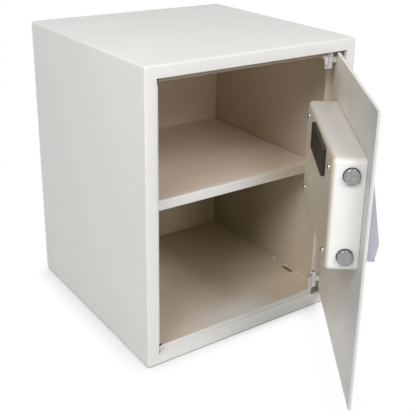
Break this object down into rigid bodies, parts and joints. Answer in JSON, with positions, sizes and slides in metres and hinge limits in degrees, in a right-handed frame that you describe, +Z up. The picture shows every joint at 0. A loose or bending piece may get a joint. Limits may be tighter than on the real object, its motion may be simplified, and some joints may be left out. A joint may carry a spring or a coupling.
{
  "type": "electronic safe",
  "caption": "Free-standing steel safe with its right-hinged door open: keypad outside, lock cover with two locking bolts and battery lid inside, one shelf in the cabinet.",
  "frame": {"origin": "middle of the cabinet's base, on the surface that it stands on", "axes": "+X to the right seen from the front, +Y from the front to the back of the cabinet, +Z up; the door is open 54.5 degrees at rest"},
  "size_m": [0.37, 0.6072, 0.45],
  "materials": {
    "painted_steel": "fine-textured beige powder coat",
    "bare_steel": "zinc-plated, satin",
    "chrome": "polished",
    "brass": "machined",
    "black_plastic": "moulded, fine grain",
    "grey_plastic": "moulded, satin",
    "key_plastic": "moulded, satin",
    "board": "solder-resist laminate",
    "cell_wrap": "printed sleeve without text",
    "red_lens": "clear red",
    "green_lens": "clear green"
  },
  "bodies": {
    "cabinet": {"cabinet_shell": "painted_steel", "back_panel": "painted_steel", "shelf": "painted_steel", "shelf_rail_left": "painted_steel", "shelf_rail_right": "painted_steel", "upper_hinge_bracket": "painted_steel", "lower_hinge_bracket": "painted_steel", "upper_hinge_pin": "bare_steel", "lower_hinge_pin": "bare_steel", "upper_hinge_screw": "bare_steel", "lower_hinge_screw": "bare_steel"},
    "door": {"door_panel": "painted_steel", "upper_door_knuckle": "painted_steel", "lower_door_knuckle": "painted_steel", "lock_cover": "painted_steel", "cover_screw_1": "chrome", "cover_screw_2": "chrome", "cover_screw_3": "chrome", "cover_screw_4": "chrome", "cover_post_upper": "bare_steel", "cover_post_lower": "bare_steel", "lock_base_plate": "bare_steel", "bolt_guide": "bare_steel", "guide_stud_upper": "bare_steel", "guide_stud_lower": "bare_steel", "motor_gearbox": "black_plastic", "motor_can": "bare_steel", "control_board": "board", "wiring_loom": "black_plastic", "battery_holder": "black_plastic", "battery_1": "cell_wrap", "battery_2": "cell_wrap", "battery_3": "cell_wrap", "battery_4": "cell_wrap", "lock_cylinder": "chrome", "keypad_housing": "grey_plastic", "keypad_board": "board", "lens_red": "red_lens", "lens_green": "green_lens"},
    "bolts": {"bolt_rack_plate": "bare_steel", "bolt_upper": "chrome", "bolt_lower": "chrome"},
    "pinion": {"drive_pinion": "brass"},
    "key_lock": {"key_plug": "chrome", "lock_cam": "bare_steel"},
    "battery_lid": {"battery_lid": "black_plastic"},
    "keyhole_plate": {"keyhole_plate": "grey_plastic"},
    "key_1": {"key_1": "key_plastic"},
    "key_2": {"key_2": "key_plastic"},
    "key_3": {"key_3": "key_plastic"},
    "key_4": {"key_4": "key_plastic"},
    "key_5": {"key_5": "key_plastic"},
    "key_6": {"key_6": "key_plastic"},
    "key_7": {"key_7": "key_plastic"},
    "key_8": {"key_8": "key_plastic"},
    "key_9": {"key_9": "key_plastic"},
    "key_clear": {"key_clear": "key_plastic"},
    "key_0": {"key_0": "key_plastic"},
    "key_enter": {"key_enter": "key_plastic"}
  },
  "joints": [
    {"name": "door_swing", "type": "hinge", "parent": "cabinet", "child": "door", "pos_m": [0.1462, -0.166, 0.225], "axis": [0, 0, 1], "range_deg": [-54.5, 53.5]},
    {"name": "bolt_slide", "type": "slide", "parent": "door", "child": "bolts", "axis": [-0.5807, -0.8141, 0], "range_m": [0, 0.03]},
    {"name": "pinion_turn", "type": "hinge", "parent": "door", "child": "pinion", "pos_m": [0.01453, -0.31529, 0.2795], "axis": [0.8141, -0.5807, 0], "range_deg": [0, 191]},
    {"name": "key_turn", "type": "hinge", "parent": "door", "child": "key_lock", "pos_m": [0.07246, -0.2866, 0.268], "axis": [-0.8141, 0.5807, 0], "range_deg": [-90, 0]},
    {"name": "battery_lid_slide", "type": "slide", "parent": "door", "child": "battery_lid", "axis": [0.5807, 0.8141, 0], "range_m": [0, 0.01]},
    {"name": "keyhole_plate_swing", "type": "hinge", "parent": "door", "child": "keyhole_plate", "pos_m": [0.09143, -0.30013, 0.28346], "axis": [-0.8032, 0.5729, -0.163], "range_deg": [-100, 0]},
    {"name": "key_1_press", "type": "slide", "parent": "door", "child": "key_1", "axis": [-0.8032, 0.5729, -0.163], "range_m": [0, 0.0012], "stiffness_N_per_m": 800},
    {"name": "key_2_press", "type": "slide", "parent": "door", "child": "key_2", "axis": [-0.8032, 0.5729, -0.163], "range_m": [0, 0.0012], "stiffness_N_per_m": 800},
    {"name": "key_3_press", "type": "slide", "parent": "door", "child": "key_3", "axis": [-0.8032, 0.5729, -0.163], "range_m": [0, 0.0012], "stiffness_N_per_m": 800},
    {"name": "key_4_press", "type": "slide", "parent": "door", "child": "key_4", "axis": [-0.8032, 0.5729, -0.163], "range_m": [0, 0.0012], "stiffness_N_per_m": 800},
    {"name": "key_5_press", "type": "slide", "parent": "door", "child": "key_5", "axis": [-0.8032, 0.5729, -0.163], "range_m": [0, 0.0012], "stiffness_N_per_m": 800},
    {"name": "key_6_press", "type": "slide", "parent": "door", "child": "key_6", "axis": [-0.8032, 0.5729, -0.163], "range_m": [0, 0.0012], "stiffness_N_per_m": 800},
    {"name": "key_7_press", "type": "slide", "parent": "door", "child": "key_7", "axis": [-0.8032, 0.5729, -0.163], "range_m": [0, 0.0012], "stiffness_N_per_m": 800},
    {"name": "key_8_press", "type": "slide", "parent": "door", "child": "key_8", "axis": [-0.8032, 0.5729, -0.163], "range_m": [0, 0.0012], "stiffness_N_per_m": 800},
    {"name": "key_9_press", "type": "slide", "parent": "door", "child": "key_9", "axis": [-0.8032, 0.5729, -0.163], "range_m": [0, 0.0012], "stiffness_N_per_m": 800},
    {"name": "key_clear_press", "type": "slide", "parent": "door", "child": "key_clear", "axis": [-0.8032, 0.5729, -0.163], "range_m": [0, 0.0012], "stiffness_N_per_m": 800},
    {"name": "key_0_press", "type": "slide", "parent": "door", "child": "key_0", "axis": [-0.8032, 0.5729, -0.163], "range_m": [0, 0.0012], "stiffness_N_per_m": 800},
    {"name": "key_enter_press", "type": "slide", "parent": "door", "child": "key_enter", "axis": [-0.8032, 0.5729, -0.163], "range_m": [0, 0.0012], "stiffness_N_per_m": 800}
  ],
  "couplings": [
    {"joint": "pinion_turn", "follows": "bolt_slide", "rad_per_m": 111.11}
  ]
}
